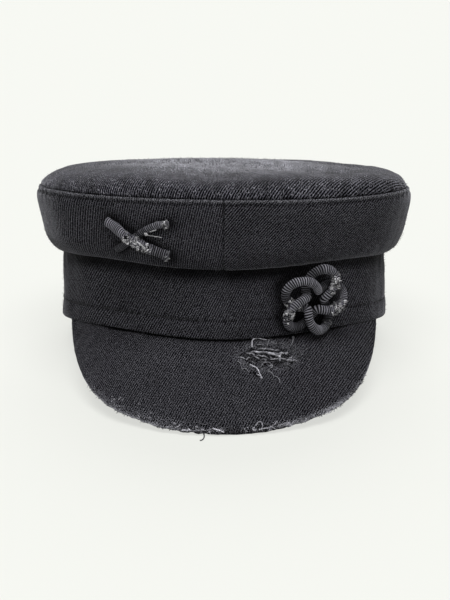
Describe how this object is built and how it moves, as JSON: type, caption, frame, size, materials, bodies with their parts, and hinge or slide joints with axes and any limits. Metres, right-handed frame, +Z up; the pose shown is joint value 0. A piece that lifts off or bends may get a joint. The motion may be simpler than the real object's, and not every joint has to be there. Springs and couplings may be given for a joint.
{
  "type": "baker boy cap",
  "caption": "Baker boy cap in washed black denim with a flat round crown, folded side crown, upright band, short curved peak and sewn cord ornaments.",
  "frame": {"origin": "centre of the cap's bounding box, on the surface that it rests on", "axes": "+Z up, the peak points along -Y, +X is to the right of someone who faces the peak"},
  "size_m": [0.2044, 0.2732, 0.1114],
  "materials": {
    "denim": "washed black cotton twill, matt, with pale worn threads and frayed raw edges",
    "gimp_cord": "black gimp cord, tightly wrapped and fine ribbed, frayed in places to a pale core"
  },
  "bodies": {
    "root": {"crown_top": "denim", "side_panel_left": "denim", "side_panel_right": "denim", "band": "denim", "peak_cover": "denim", "peak_under": "denim", "cross_cord_over": "gimp_cord", "cross_cord_under": "gimp_cord", "rosette_cord": "gimp_cord"}
  },
  "joints": []
}
